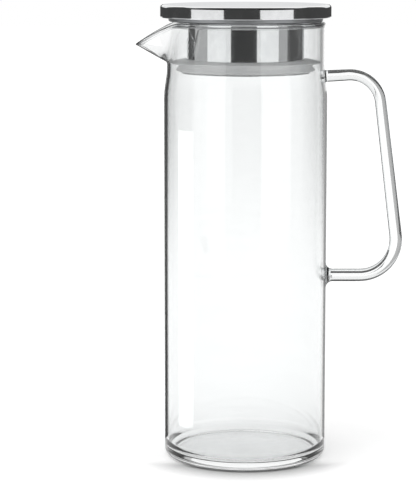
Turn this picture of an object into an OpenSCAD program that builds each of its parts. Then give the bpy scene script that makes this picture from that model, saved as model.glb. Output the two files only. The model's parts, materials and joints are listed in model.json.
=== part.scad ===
// Straight glass pitcher with a pulled spout, a bent-rod handle and a steel lid.
// The lid is a drawn cap over a moulded core. A strainer sleeve and a soft ring hang under it.
// +Z is up, the spout points to -X and the handle to +X. The origin is on the
// glass's axis, in the plane that it stands on.

/* [Glass body] */
// Outer diameter of the straight body
body_d = 100; // [90:1:110]
// Height of the glass from its foot to its rim
glass_h = 269; // [240:1:300]
// Thickness of the glass wall
wall = 2.2; // [1.8:0.1:2.8]
// Thickness of the base
base_t = 4.5; // [3.5:0.1:7]
// Rise of the middle of the base above the table
push_up = 1.4; // [0.6:0.1:2.5]
// Radius of the heel outside
heel_r = 4.6; // [3:0.1:7]
// Radius of the corner inside, between floor and wall
floor_r = 7; // [4:0.1:10]
// Width of the flat ring that the pitcher stands on
foot_w = 7; // [4:0.1:12]

/* [Neck and rim] */
// How far the neck is drawn in from the body
neck_in = 1.8; // [1:0.1:3]
// Height of the neck from its shoulder's foot to the rim
neck_h = 47; // [44:1:60]
// Height over which the body runs in to the neck
shoulder_h = 20; // [10:1:22]
// Diameter of the fire-polished bead on the rim
bead_d = 2.6; // [2.4:0.1:3.2]

/* [Spout] */
// How far the spout's tip is pulled out past the neck
spout_reach = 18.4; // [12:0.1:22]
// How far the tip is pulled down below the rim
spout_drop = 12.8; // [8:0.1:14]
// Height of the neck that the pull takes in
spout_h = 24.6; // [22:0.1:26]
// Half angle of the spout at the rim
spout_angle = 31; // [26:1:34]
// Half angle that rounds the tip of the spout
tip_angle = 1.6; // [1:0.1:3]

/* [Handle] */
// Diameter of the rod at the foot of the grip and in the lower arm
rod_d = 7.8; // [6.6:0.1:9]
// Diameter that the upper bend is drawn down to
drawn_d = 6.9; // [6:0.1:8]
// Diameter of the upper arm where it meets the neck
arm_d = 7.4; // [6:0.1:9]
// Reach of the handle past the body
handle_reach = 47; // [40:0.1:55]
// Depth of the upper arm's weld below the rim
upper_drop = 33.1; // [30:0.1:40]
// Depth of the lower arm below the rim
lower_drop = 156.1; // [130:0.1:170]
// Bend radius between the upper arm and the grip, at the rod's middle
upper_bend_r = 18.8; // [12:0.1:22]
// Bend radius between the grip and the lower arm, at the rod's middle
lower_bend_r = 22.2; // [14:0.1:26]
// Lean of the grip away from the body
grip_lean = 7.1; // [0:0.1:10]
// Rise of the upper arm as it leaves the neck
arm_rise = 3; // [0:0.1:8]
// Flare of the upper weld
upper_flare = 1.4; // [1:0.1:3]
// Flare of the lower weld
lower_flare = 4; // [1:0.1:5]

/* [Lid cover] */
// How far the cover reaches past the neck
cover_over = 3.8; // [2.8:0.1:8]
// Height of the cover's side
cover_h = 7.8; // [7:0.1:12]
// Thickness of the cover's sheet
cover_t = 0.8; // [0.5:0.1:1]
// Radius of the cover's upper edge
cover_edge_r = 1.4; // [1:0.1:2.4]
// Thickness of the curl that closes the cover's lower edge
curl_d = 1.4; // [1.2:0.1:2]

/* [Lid plate and core] */
// How far the step that sits on the rim lies inside the neck's outer face
step_in = 1.2; // [0.9:0.1:1.6]
// Depth of that step below the cover
step_h = 2.4; // [1.6:0.1:4]
// Thickness of the plate's sheet
plate_t = 0.8; // [0.5:0.1:1]
// Thickness of the core's skin and ribs
core_t = 1.6; // [1.2:0.1:2]
// Number of ribs in the core
core_ribs = 12; // [6:1:16]
// Diameter of the core's hub
hub_d = 22; // [12:1:30]

/* [Strainer] */
// Width of the channel between the neck and the sleeve
channel_w = 10.2; // [9:0.1:13]
// Thickness of the sleeve's sheet
sleeve_t = 0.6; // [0.4:0.1:0.8]
// Depth of the sleeve below the plate
sleeve_h = 31.2; // [29:0.1:36]
// Width of the flange that is welded under the plate
flange_w = 2.4; // [1.6:0.1:4]
// Width of the lip that carries the soft ring
lip_w = 3.6; // [2.5:0.1:4.5]
// Diameter of the strainer's holes
hole_d = 2; // [1.4:0.1:2.2]
// Land between the soft ring and the holes above it
hole_land = 1.2; // [0.8:0.1:2]
// Spacing of the holes
hole_pitch = 3.4; // [3:0.1:4]
// Number of columns of holes
hole_cols = 13; // [5:2:17]
// Number of holes in the outermost and every second column: those between hold one less
hole_rows = 4; // [2:1:4]
// Width of the pour window
window_w = 11.5; // [8:0.1:20]
// Height of the pour window
window_h = 10.2; // [8:0.1:11]
// Corner radius of the pour window
window_r = 1.6; // [0.5:0.1:3]

/* [Soft ring] */
// Height of the ring
ring_h = 7.2; // [6:0.1:8.5]
// Thickness of the ring between its bore and its fins
ring_wall = 4.8; // [4.2:0.1:6]
// Thickness of the upper fin at its root
fin_t = 1.9; // [1.2:0.1:2.2]
// Thickness of the upper fin at its edge
fin_edge_t = 1; // [0.8:0.1:1.2]
// Droop of the upper fin's edge
fin_droop = 0.9; // [0.4:0.1:1.4]
// Width of the lower fin
low_fin_w = 1.6; // [0.8:0.1:2]
// Height of the lower fin
low_fin_h = 2.6; // [2:0.1:3]

/* [Clearances] */
// Gap between the plate and the rim that it sits on
rim_gap = 0.2; // [0.1:0.05:0.4]
// Gap between the upper fin's edge and the neck
fin_gap = 0.3; // [0.2:0.05:0.6]
// Gap between the soft ring and the sleeve that turns in it
ring_gap = 0.2; // [0.1:0.05:0.3]
// Play of the plate and the core inside the cover
inner_gap = 0.1; // [0.05:0.05:0.3]

/* [Hidden] */
// Overrun of cuts past the faces that they open
over = 2;
// Facets of a full turn
$fn = 96;
// Steps of a small fillet, and of a shoulder curve
fillet_steps = 6;
curve_steps = 10;

body_r = body_d / 2;
neck_r = body_r - neck_in;
bore_r = neck_r - wall;
bead_r = bead_d / 2;
bead_mid = [bore_r + bead_r, glass_h - bead_r];
bead_start = -acos((neck_r - bead_mid[0]) / bead_r);
shoulder_z = glass_h - neck_h;
foot_r = body_r - heel_r - foot_w;

// The spout's pull starts at spout_z. The plain neck is cut away above slot_z, for the loft.
spout_z = glass_h - spout_h;
slot_z = spout_z - wall / 2;
slot_angle = spout_angle + 4;
edge_angle = 1.5;
spout_columns = 32;
spout_rows = 9;
// Shape of the pull round the rim: above 1 its flanks are hollow
pull_power = 1.7;
// Share of the spout's half angle that is left at its root
root_angle_share = 0.6;
// The loft's lower edge and sides end in a tongue that is buried in the wall
tongue_h = wall;
tongue_share = 0.5;
seam_share = 0.05;
// Share of the loft's columns that is evenly spaced: the rest draws them together at the tip
even_share = 0.35;

plate_z = glass_h + rim_gap;
cover_z = plate_z + step_h;
lid_top = cover_z + cover_h;
cover_r = neck_r + cover_over;
curl_r = curl_d / 2;
curl_mid = [cover_r - curl_r, cover_z + curl_r];
inner_r = cover_r - cover_t - inner_gap;
seat_z = cover_z + curl_d + inner_gap;
step_r = neck_r - step_in;
core_top = lid_top - cover_t - inner_gap;

sleeve_r = bore_r - channel_w;
lip_z = plate_z - sleeve_h;
ring_z = lip_z + sleeve_t + ring_gap;
ring_top = ring_z + ring_h;
ring_bore_r = sleeve_r + ring_gap;
ring_r = ring_bore_r + ring_wall;
fin_r = bore_r - fin_gap;
hole_z = ring_top + hole_land + hole_d / 2;
hole_step = hole_pitch * cos(30) / sleeve_r * 180 / PI;
window_z = ring_top + hole_land;

// Points on an arc round c, from angle a to angle b
function arc(c, r, a, b, n = fillet_steps) =
    [for (i = [0:n]) let (t = a + (b - a) * i / n) c + r * [cos(t), sin(t)]];
// Smooth run from 0 to 1
function ease(t) = (1 - cos(180 * t)) / 2;
function clamped(t) = min(1, max(0, t));
// Shoulder between the body and the neck, for a face that lies inset inside the outer one
function shoulder(inset) =
    [for (i = [0:curve_steps]) let (t = i / curve_steps)
        [body_r - inset - (body_r - neck_r) * ease(t), shoulder_z + shoulder_h * t]];
// Shallow dome of height push_up over the foot's inner radius, raised by lift
function dome(lift, r) =
    [for (i = [0:curve_steps]) let (t = i / curve_steps)
        [r * t, lift + push_up * (1 - ease(t))]];
function reversed(points) = [for (i = [len(points) - 1:-1:0]) points[i]];

outer_side = concat(
    dome(0, foot_r),
    arc([body_r - heel_r, heel_r], heel_r, -90, 0),
    shoulder(0));
bead = arc(bead_mid, bead_r, bead_start, 180, 2 * fillet_steps);
inner_side = concat(
    dome(base_t, foot_r),
    arc([body_r - wall - floor_r, base_t + floor_r], floor_r, -90, 0),
    shoulder(wall));

// Share of the full pull at angle a and at height z of the unpulled neck
function pull(a, z) =
    let (g = clamped((z - spout_z) / (bead_mid[1] - spout_z)),
         half = spout_angle * (root_angle_share + (1 - root_angle_share) * g),
         soft = sqrt(a * a + tip_angle * tip_angle) - tip_angle)
    g * pow(clamped(1 - soft / half), pull_power);
// Place of the neck's point p = [radius, height] at angle a from the spout, once it is pulled
function pulled(a, p) =
    let (k = pull(a, p[1]), r = p[0] + spout_reach * k)
    [-r * cos(a), r * sin(a), p[1] - spout_drop * k];

// Section of the spout's loft, up the outside, over the bead and down the inside: [point, share
// by which it is drawn in to the wall's middle]. Its lower edge is a tongue inside the wall.
spout_section = concat(
    [[[neck_r, slot_z - tongue_h], tongue_share], [[neck_r, slot_z], seam_share]],
    [for (i = [1:spout_rows])
        [[neck_r, slot_z + (bead[0][1] - slot_z) * i / (spout_rows + 1)], 0]],
    [for (p = bead) [p, 0]],
    [for (i = [spout_rows:-1:1])
        [[bore_r, slot_z + (bead_mid[1] - slot_z) * i / (spout_rows + 1)], 0]],
    [[[bore_r, slot_z], seam_share], [[bore_r, slot_z - tongue_h], tongue_share]]);
// Columns of the loft, closer together at the tip: [angle, share], with a tongue at each side
spout_sides = [[slot_angle + edge_angle, tongue_share], [slot_angle, seam_share]];
spout_angles = concat(
    [for (s = spout_sides) [-s[0], s[1]]],
    [for (i = [0:spout_columns]) let (t = 2 * i / spout_columns - 1)
        [(slot_angle - edge_angle) * t * (even_share + (1 - even_share) * abs(t)), 0]],
    reversed(spout_sides));
// Point p of the wall or the bead, drawn in to their middle by a share
function drawn_in(p, share) =
    p + share * ([bore_r + wall / 2, min(p[1], bead_mid[1])] - p);

// Neck wall and rim between the slot's faces, drawn out to a beak
module spout_loft() {
    n = len(spout_section);
    last = len(spout_angles) - 1;
    points = [for (a = spout_angles, p = spout_section)
        pulled(a[0], drawn_in(p[0], max(a[1], p[1])))];
    skin = [for (i = [0:last - 1], j = [0:n - 1]) let (k = (j + 1) % n)
        each [[i * n + j, (i + 1) * n + k, i * n + k], [i * n + j, (i + 1) * n + j, (i + 1) * n + k]]];
    polyhedron(points, concat(skin,
        [[for (j = [0:n - 1]) j]], [[for (j = [n - 1:-1:0]) last * n + j]]), convexity = 8);
}

// Sector of the neck that the spout's loft takes the place of
module spout_slot() {
    far = (neck_r + over) / cos(slot_angle);
    translate([0, 0, slot_z])
        linear_extrude(height = spout_h + wall + over)
            polygon([[0, 0], far * [-cos(slot_angle), sin(slot_angle)],
                far * [-cos(slot_angle), -sin(slot_angle)]]);
}

// Straight body, thick base, shoulder and beaded rim in one revolve, with the spout lofted in
module glass_body() {
    color([0.86, 0.93, 0.94, 0.45]) {
        difference() {
            rotate_extrude()
                polygon(concat(outer_side, bead, reversed(inner_side)));
            spout_slot();
        }
        spout_loft();
    }
}

// The glass with its inside filled, which trims what is welded to it
module glass_filled() {
    rotate_extrude()
        polygon(concat(outer_side, bead, [[0, glass_h]]));
}

rod_r = rod_d / 2;
drawn_r = drawn_d / 2;
upper_z = glass_h - upper_drop;
lower_z = glass_h - lower_drop;
lower_mid = [body_r + handle_reach - rod_r - lower_bend_r, lower_z + lower_bend_r];
grip_out = [cos(grip_lean), sin(grip_lean)];
grip_up = [-sin(grip_lean), cos(grip_lean)];
arm_out = [cos(arm_rise), sin(arm_rise)];
arm_up = [-sin(arm_rise), cos(arm_rise)];
grip_foot = lower_mid + lower_bend_r * grip_out;
// Where the upper arm would end if the grip had no length, and the grip that makes it meet the weld
arm_end_low = grip_foot - upper_bend_r * grip_out + upper_bend_r * arm_up;
grip_len = (upper_z + tan(arm_rise) * (arm_end_low[0] - neck_r) - arm_end_low[1])
    / (cos(grip_lean) + tan(arm_rise) * sin(grip_lean));
grip_head = grip_foot + grip_len * grip_up;
upper_mid = grip_head - upper_bend_r * grip_out;
arm_end = upper_mid + upper_bend_r * arm_up;
weld_root = wall;
bend_thin = rod_r / 80;
run_on = rod_r / 8;

// Stretch of rod from p to q in the plane of the handle, with radius r at p and s at q
module rod(p, q, r, s) {
    d = q - p;
    translate([p[0], 0, p[1]])
        rotate([0, 90 - atan2(d[1], d[0]), 0])
            cylinder(h = norm(d), r1 = r, r2 = s);
}

// Bent stretch of rod round c in the plane of the handle, from angle a to angle b. A bend
// draws the glass a little thinner, and the straight stretches run on into it.
module bend(c, r, a, b, thick_r) {
    translate([c[0], 0, c[1]])
        rotate([90, 0, 0])
            rotate([0, 0, a])
                rotate_extrude(angle = b - a)
                    translate([r, 0])
                        circle(r = thick_r - bend_thin);
}

// Flared glass of a weld at p on a rod of radius r that leaves it at an angle
module weld(p, angle, r, flare) {
    translate([p[0], 0, p[1]])
        rotate([0, 90 - angle, 0])
            rotate_extrude()
                polygon(concat([[0, -weld_root], [r + flare, -weld_root]],
                    arc([r + flare, flare], flare, 270, 180), [[0, flare]]));
}

// One rod bent to shape, with its ends flared into the wall that they are welded to
module glass_handle() {
    arm_foot = [neck_r, upper_z];
    color([0.86, 0.93, 0.94, 0.45])
        difference() {
            union() {
                rod(arm_foot - weld_root * arm_out, arm_end + run_on * arm_out, arm_d / 2, drawn_r);
                bend(upper_mid, upper_bend_r, grip_lean, 90 + arm_rise, drawn_r);
                rod(grip_head + run_on * grip_up, grip_foot - run_on * grip_up, drawn_r, rod_r);
                bend(lower_mid, lower_bend_r, -90, grip_lean, rod_r);
                rod([lower_mid[0] + run_on, lower_z], [body_r - weld_root, lower_z], rod_r, rod_r);
                weld(arm_foot, arm_rise, arm_d / 2, upper_flare);
                weld([body_r, lower_z], 0, rod_r - bend_thin, lower_flare);
            }
            glass_filled();
        }
}

// Drawn steel cap with a curled lower edge
module lid_cover() {
    color("silver")
        rotate_extrude()
            polygon(concat(
                [[0, lid_top - cover_t], [0, lid_top]],
                arc([cover_r, lid_top] - cover_edge_r * [1, 1], cover_edge_r, 90, 0),
                arc(curl_mid, curl_r, 0, -270, 2 * fillet_steps),
                [[cover_r - cover_t, cover_z + curl_d]],
                arc([cover_r, lid_top] - cover_edge_r * [1, 1], cover_edge_r - cover_t, 0, 90)));
}

// Pressed plate that closes the cover, with the step that sits on the rim
module lid_plate() {
    bend_r = plate_t;
    color("gainsboro")
        rotate_extrude()
            polygon(concat(
                [[0, plate_z]],
                arc([step_r - bend_r, plate_z + bend_r], bend_r, -90, 0),
                [[step_r, seat_z], [inner_r, seat_z], [inner_r, seat_z + plate_t],
                    [step_r - plate_t, seat_z + plate_t],
                    [step_r - plate_t, plate_z + plate_t], [0, plate_z + plate_t]]));
}

// Moulded core between the plate and the cover, ribbed on its upper side
module lid_core() {
    floor_z = plate_z + plate_t + inner_gap;
    ledge_z = seat_z + plate_t + inner_gap;
    core_r = step_r - plate_t - inner_gap;
    pocket_angle = 360 / core_ribs;
    color("dimgray")
        difference() {
            union() {
                translate([0, 0, floor_z])
                    cylinder(h = core_top - floor_z, r = core_r);
                translate([0, 0, ledge_z])
                    cylinder(h = core_top - ledge_z, r = inner_r);
            }
            for (i = [0:core_ribs - 1])
                rotate([0, 0, i * pocket_angle])
                    translate([0, 0, floor_z + core_t])
                        rib_pocket(hub_d / 2 + core_t, core_r - core_t, pocket_angle,
                            core_top - floor_z);
            translate([0, 0, floor_z + core_t])
                cylinder(h = core_top - floor_z, r = hub_d / 2);
        }
}

// Wedge between two ribs, from radius a to radius b, clear of the ribs' middles by half a rib
module rib_pocket(a, b, angle, h) {
    tip = core_t / 2 / sin(angle / 2) * [cos(angle / 2), sin(angle / 2)];
    intersection() {
        difference() {
            cylinder(h = h, r = b);
            translate([0, 0, -over])
                cylinder(h = h + 2 * over, r = a);
        }
        linear_extrude(height = h)
            polygon([tip, tip + 2 * b * [1, 0], tip + 2 * b * [cos(angle), sin(angle)]]);
    }
}

// Outline of a window w wide and h high, standing on the X axis, with rounded corners
function window_outline(w, h, r) = concat(
    arc([w / 2 - r, r], r, -90, 0), arc([w / 2 - r, h - r], r, 0, 90),
    arc([r - w / 2, h - r], r, 90, 180), arc([r - w / 2, r], r, 180, 270));

// Steel sleeve under the plate: holes face the spout, and a pour window faces the handle
module strainer() {
    lip_r = sleeve_r + lip_w;
    flange_r = sleeve_r + flange_w;
    inside_r = sleeve_r - sleeve_t;
    color("lightsteelblue")
        difference() {
            rotate_extrude()
                polygon(concat(
                    [[inside_r, lip_z], [lip_r - sleeve_t / 2, lip_z]],
                    arc([lip_r - sleeve_t / 2, lip_z + sleeve_t / 2], sleeve_t / 2, -90, 90),
                    [[sleeve_r, lip_z + sleeve_t], [sleeve_r, plate_z - sleeve_t],
                        [flange_r, plate_z - sleeve_t], [flange_r, plate_z], [inside_r, plate_z]]));
            for (c = [0:hole_cols - 1], r = [0:hole_rows - 1 - c % 2])
                rotate([0, 0, 180 + (c - (hole_cols - 1) / 2) * hole_step])
                    translate([inside_r - over, 0, hole_z + (r + (c % 2) / 2) * hole_pitch])
                        rotate([0, 90, 0])
                            cylinder(h = sleeve_t + 2 * over, d = hole_d);
            translate([inside_r - over, 0, window_z])
                rotate([90, 0, 90])
                    linear_extrude(height = sleeve_t + 2 * over)
                        polygon(window_outline(window_w, window_h, window_r));
        }
}

// Soft ring round the sleeve, with a long upper fin and a short lower one
module seal_ring() {
    low = ring_z + low_fin_h / 2;
    color([0.8, 0.82, 0.82, 0.8])
        rotate_extrude()
            polygon(concat(
                [[ring_bore_r, ring_z], [ring_r - low_fin_w / 2, ring_z]],
                [[ring_r + low_fin_w, low - fin_edge_t / 4], [ring_r + low_fin_w, low + fin_edge_t / 4]],
                arc([ring_r + low_fin_w / 2, ring_z + low_fin_h + low_fin_w / 2], low_fin_w / 2, 270, 180),
                [[ring_r, ring_top - fin_t], [fin_r - fin_edge_t / 2, ring_top - fin_droop - fin_edge_t]],
                arc([fin_r - fin_edge_t / 2, ring_top - fin_droop - fin_edge_t / 2],
                    fin_edge_t / 2, -90, 90),
                [[ring_r, ring_top], [ring_bore_r, ring_top]]));
}

glass_body();
glass_handle();
lid_cover();
lid_core();
lid_plate();
strainer();
seal_ring();
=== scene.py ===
import json
import math

import bpy
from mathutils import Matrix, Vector

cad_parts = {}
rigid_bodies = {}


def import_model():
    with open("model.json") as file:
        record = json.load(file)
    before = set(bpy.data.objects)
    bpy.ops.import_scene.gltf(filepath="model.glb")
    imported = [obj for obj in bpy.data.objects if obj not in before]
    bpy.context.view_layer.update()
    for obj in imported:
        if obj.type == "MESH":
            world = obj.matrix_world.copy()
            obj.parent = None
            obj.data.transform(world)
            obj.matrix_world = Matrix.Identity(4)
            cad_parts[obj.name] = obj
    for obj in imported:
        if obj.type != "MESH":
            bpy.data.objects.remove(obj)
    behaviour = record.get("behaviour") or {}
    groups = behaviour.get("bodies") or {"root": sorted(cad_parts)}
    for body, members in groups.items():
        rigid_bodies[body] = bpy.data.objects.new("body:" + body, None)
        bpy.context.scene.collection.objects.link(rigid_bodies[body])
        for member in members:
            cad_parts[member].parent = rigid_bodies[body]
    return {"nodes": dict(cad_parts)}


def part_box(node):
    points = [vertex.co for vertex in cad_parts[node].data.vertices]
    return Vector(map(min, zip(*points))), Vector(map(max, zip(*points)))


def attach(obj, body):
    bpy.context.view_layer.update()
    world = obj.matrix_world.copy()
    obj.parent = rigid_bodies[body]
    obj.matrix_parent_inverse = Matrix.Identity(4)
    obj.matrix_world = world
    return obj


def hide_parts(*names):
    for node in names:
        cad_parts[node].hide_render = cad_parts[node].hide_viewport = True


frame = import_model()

mm = 0.001
scene = bpy.context.scene
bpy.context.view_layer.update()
print("frame loaded:", sorted(frame["nodes"]))

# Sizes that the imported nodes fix, in millimetres, so that every piece sits where its node does
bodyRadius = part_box("glass_body")[1].x / mm
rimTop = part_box("glass_body")[1].z / mm
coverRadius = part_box("lid_cover")[1].x / mm
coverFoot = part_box("lid_cover")[0].z / mm
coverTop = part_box("lid_cover")[1].z / mm
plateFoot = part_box("lid_plate")[0].z / mm
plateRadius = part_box("lid_plate")[1].x / mm
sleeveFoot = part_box("strainer")[0].z / mm
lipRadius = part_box("strainer")[1].x / mm
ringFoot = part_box("seal_ring")[0].z / mm
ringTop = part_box("seal_ring")[1].z / mm
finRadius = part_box("seal_ring")[1].x / mm
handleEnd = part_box("glass_handle")[1].x / mm


# Points on an arc round a middle, from one angle to another, in degrees
def arcPoints(middle, radius, start, end, steps):
    points = []
    for i in range(steps + 1):
        t = math.radians(start + (end - start) * i / steps)
        points.append((middle[0] + radius * math.cos(t), middle[1] + radius * math.sin(t)))
    return points


def deselectAll():
    if bpy.context.object and bpy.context.object.mode != "OBJECT":
        bpy.ops.object.mode_set(mode="OBJECT")
    bpy.ops.object.select_all(action="DESELECT")


# Leaves a piece alone selected, in object mode
def pick(piece):
    deselectAll()
    piece.select_set(True)
    bpy.context.view_layer.objects.active = piece


# A tiny plane is merged to one point, drawn along the profile and spun round the pitcher's axis
def spinProfile(name, profile, steps, closed=True, angle=360, turn=0):
    deselectAll()
    bpy.ops.mesh.primitive_plane_add(size=mm)
    piece = bpy.context.object
    piece.name = name
    bpy.ops.object.mode_set(mode="EDIT")
    bpy.ops.mesh.select_all(action="SELECT")
    bpy.ops.mesh.merge(type="CENTER")
    way = Vector((math.cos(math.radians(turn)), math.sin(math.radians(turn)), 0))
    path = [(way * r + Vector((0, 0, z))) * mm for r, z in profile]
    if closed:
        path.append(path[0])
    bpy.ops.transform.translate(value=path[0])
    for here, there in zip(path, path[1:]):
        bpy.ops.mesh.extrude_vertices_move(TRANSFORM_OT_translate={"value": there - here})
    bpy.ops.mesh.select_all(action="SELECT")
    bpy.ops.mesh.spin(steps=steps, angle=math.radians(-angle), center=(0, 0, 0), axis=(0, 0, 1))
    bpy.ops.mesh.select_all(action="SELECT")
    bpy.ops.mesh.remove_doubles(threshold=0.002 * mm)
    bpy.ops.mesh.normals_make_consistent(inside=False)
    bpy.ops.object.mode_set(mode="OBJECT")
    return piece


# Smooth over gentle corners, sharp over real edges
def smoothPiece(piece, angle=40):
    pick(piece)
    bpy.ops.object.shade_smooth_by_angle(angle=math.radians(angle))


def applyModifier(piece, kind, **settings):
    pick(piece)
    modifier = piece.modifiers.new(kind.title(), kind)
    for key, value in settings.items():
        setattr(modifier, key, value)
    bpy.ops.object.modifier_apply(modifier=modifier.name)


# The finished piece takes the place of its CAD node on the same body
def placePiece(piece, body, slot, *nodes):
    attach(piece, body)
    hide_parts(*nodes)


# Materials
def toLinear(hexColour):
    channels = [int(hexColour[i:i + 2], 16) / 255 for i in (1, 3, 5)]
    linear = [c / 12.92 if c <= 0.04045 else ((c + 0.055) / 1.055) ** 2.4 for c in channels]
    return (*linear, 1)


# Adds a node, sets its sockets and properties by name, and links its inputs
def addNode(material, kind, settings=None, links=None):
    tree = material.node_tree
    node = tree.nodes.new(kind)
    for key, value in (settings or {}).items():
        if isinstance(key, int) or key in node.inputs:
            node.inputs[key].default_value = value
        else:
            setattr(node, key, value)
    for key, output in (links or {}).items():
        tree.links.new(output, node.inputs[key])
    return node


def newMaterial(name):
    material = bpy.data.materials.new(name)
    material.use_nodes = True
    material.node_tree.nodes.clear()
    return material


def finishMaterial(material, shader):
    addNode(material, "ShaderNodeOutputMaterial", links={"Surface": shader})
    return material


def setRamp(node, stops):
    ramp = node.color_ramp
    while len(ramp.elements) < len(stops):
        ramp.elements.new(0.5)
    for element, (place, hexColour) in zip(ramp.elements, stops):
        element.position = place
        element.color = toLinear(hexColour)


# Borosilicate glass, drawn and fire-polished: clear, with slow waves in the wall. Seen edge on it goes
# dark:
# its colour is painted darker from face on to edge on, a painted shade for the dark lines at the
# wall's edges.
def makeGlass(name, edgeShadeStops, waveMm, waveDepth):
    material = newMaterial(name)
    place = addNode(material, "ShaderNodeTexCoord")
    facing = addNode(material, "ShaderNodeLayerWeight", {"Blend": 0.5})
    edge = addNode(material, "ShaderNodeValToRGB", links={"Fac": facing.outputs["Facing"]})
    setRamp(edge, edgeShadeStops)
    waves = addNode(material, "ShaderNodeTexNoise",
                    {"Scale": 1 / (waveMm * mm), "Detail": 1.0, "Roughness": 0.3},
                    {"Vector": place.outputs["Object"]})
    bump = addNode(material, "ShaderNodeBump", {"Strength": 1.0, "Distance": waveDepth * mm},
                   {"Height": waves.outputs["Fac"]})
    glass = addNode(material, "ShaderNodeBsdfPrincipled",
                    {"Roughness": 0.0, "IOR": 1.473, "Transmission Weight": 1.0},
                    {"Base Color": edge.outputs["Color"], "Normal": bump.outputs["Normal"]})
    return finishMaterial(material, glass.outputs["BSDF"])


# Inside a weld the two glasses are one: light crosses the seam without bending
def makeSeam(name):
    material = newMaterial(name)
    clear = addNode(material, "ShaderNodeBsdfTransparent")
    return finishMaterial(material, clear.outputs["BSDF"])


# Stainless steel sheet, spun with a fine abrasive: rings that spread the light across them
def makeBrushedSteel(name, ringMm):
    material = newMaterial(name)
    place = addNode(material, "ShaderNodeTexCoord")
    flat = addNode(material, "ShaderNodeVectorMath",
                   {"operation": "MULTIPLY", 1: (1, 1, 0)}, {0: place.outputs["Object"]})
    radius = addNode(material, "ShaderNodeVectorMath", {"operation": "LENGTH"},
                     {0: flat.outputs["Vector"]})
    rings = addNode(material, "ShaderNodeTexNoise",
                    {"noise_dimensions": "1D", "Scale": 1 / (ringMm * mm), "Detail": 3.0},
                    {"W": radius.outputs["Value"]})
    tone = addNode(material, "ShaderNodeValToRGB", links={"Fac": rings.outputs["Fac"]})
    setRamp(tone, [(0.3, "#cbccce"), (0.7, "#dfe0e1")])
    spread = addNode(material, "ShaderNodeMapRange", {"To Min": 0.3, "To Max": 0.44},
                     {"Value": rings.outputs["Fac"]})
    bump = addNode(material, "ShaderNodeBump", {"Strength": 0.25, "Distance": 0.02 * mm},
                   {"Height": rings.outputs["Fac"]})
    grainWay = addNode(material, "ShaderNodeTangent", {"direction_type": "RADIAL", "axis": "Z"})
    steel = addNode(material, "ShaderNodeBsdfPrincipled", {"Metallic": 1.0, "Anisotropic": 0.55},
                    {"Base Color": tone.outputs["Color"], "Roughness": spread.outputs["Result"],
                     "Normal": bump.outputs["Normal"], "Tangent": grainWay.outputs["Tangent"]})
    return finishMaterial(material, steel.outputs["BSDF"])


# Stainless steel sheet, mirror polished: clear reflections with faint wipe marks. Left as pressed,
# it is satin, and its reflections run together.
def makePolishedSteel(name, hexDark, hexLight, roughness=(0.04, 0.1)):
    material = newMaterial(name)
    place = addNode(material, "ShaderNodeTexCoord")
    wipes = addNode(material, "ShaderNodeTexNoise",
                    {"Scale": 1 / (9 * mm), "Detail": 4.0, "Roughness": 0.6},
                    {"Vector": place.outputs["Object"]})
    tone = addNode(material, "ShaderNodeValToRGB", links={"Fac": wipes.outputs["Fac"]})
    setRamp(tone, [(0.35, hexDark), (0.65, hexLight)])
    smooth, dull = roughness
    spread = addNode(material, "ShaderNodeMapRange", {"To Min": smooth, "To Max": dull},
                     {"Value": wipes.outputs["Fac"]})
    steel = addNode(material, "ShaderNodeBsdfPrincipled", {"Metallic": 1.0},
                    {"Base Color": tone.outputs["Color"], "Roughness": spread.outputs["Result"]})
    return finishMaterial(material, steel.outputs["BSDF"])


# Silicone rubber, moulded in a matt tool: milky, lets light through, no clear reflection
def makeSilicone(name):
    material = newMaterial(name)
    place = addNode(material, "ShaderNodeTexCoord")
    cloud = addNode(material, "ShaderNodeTexNoise",
                    {"Scale": 1 / (14 * mm), "Detail": 2.0}, {"Vector": place.outputs["Object"]})
    tone = addNode(material, "ShaderNodeValToRGB", links={"Fac": cloud.outputs["Fac"]})
    setRamp(tone, [(0.3, "#f8f9f9"), (0.7, "#fdfdfd")])
    grain = addNode(material, "ShaderNodeTexNoise", {"Scale": 1 / (0.6 * mm), "Detail": 2.0},
                    {"Vector": place.outputs["Object"]})
    bump = addNode(material, "ShaderNodeBump", {"Strength": 0.2, "Distance": 0.03 * mm},
                   {"Height": grain.outputs["Fac"]})
    rubber = addNode(material, "ShaderNodeBsdfPrincipled",
                     {"Roughness": 0.42, "IOR": 1.41, "Transmission Weight": 0.02},
                     {"Base Color": tone.outputs["Color"], "Normal": bump.outputs["Normal"]})
    return finishMaterial(material, rubber.outputs["BSDF"])


# ABS, moulded: dark, satin, with a fine spark-eroded grain
def makeMouldedPlastic(name):
    material = newMaterial(name)
    place = addNode(material, "ShaderNodeTexCoord")
    grain = addNode(material, "ShaderNodeTexNoise", {"Scale": 1 / (0.8 * mm), "Detail": 3.0},
                    {"Vector": place.outputs["Object"]})
    tone = addNode(material, "ShaderNodeValToRGB", links={"Fac": grain.outputs["Fac"]})
    setRamp(tone, [(0.3, "#505356"), (0.7, "#5b5e61")])
    bump = addNode(material, "ShaderNodeBump", {"Strength": 0.3, "Distance": 0.04 * mm},
                   {"Height": grain.outputs["Fac"]})
    plastic = addNode(material, "ShaderNodeBsdfPrincipled", {"Roughness": 0.5, "IOR": 1.54},
                      {"Base Color": tone.outputs["Color"], "Normal": bump.outputs["Normal"]})
    return finishMaterial(material, plastic.outputs["BSDF"])


# Camera: fitted to the foot's, the rim's and the body's outlines
camera = {"place": (-22.95, -1267.6, 322.35), "tilt": 8.64, "lens": 150.55}
bpy.ops.object.camera_add(location=Vector(camera["place"]) * mm,
                          rotation=(math.radians(90 - camera["tilt"]), 0, 0))
bpy.context.object.name = "photoCamera"
bpy.context.object.data.lens = camera["lens"]
bpy.context.object.data.clip_end = 30
scene.camera = bpy.context.object
scene.view_settings.view_transform = "Standard"
print("camera placed")

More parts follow.
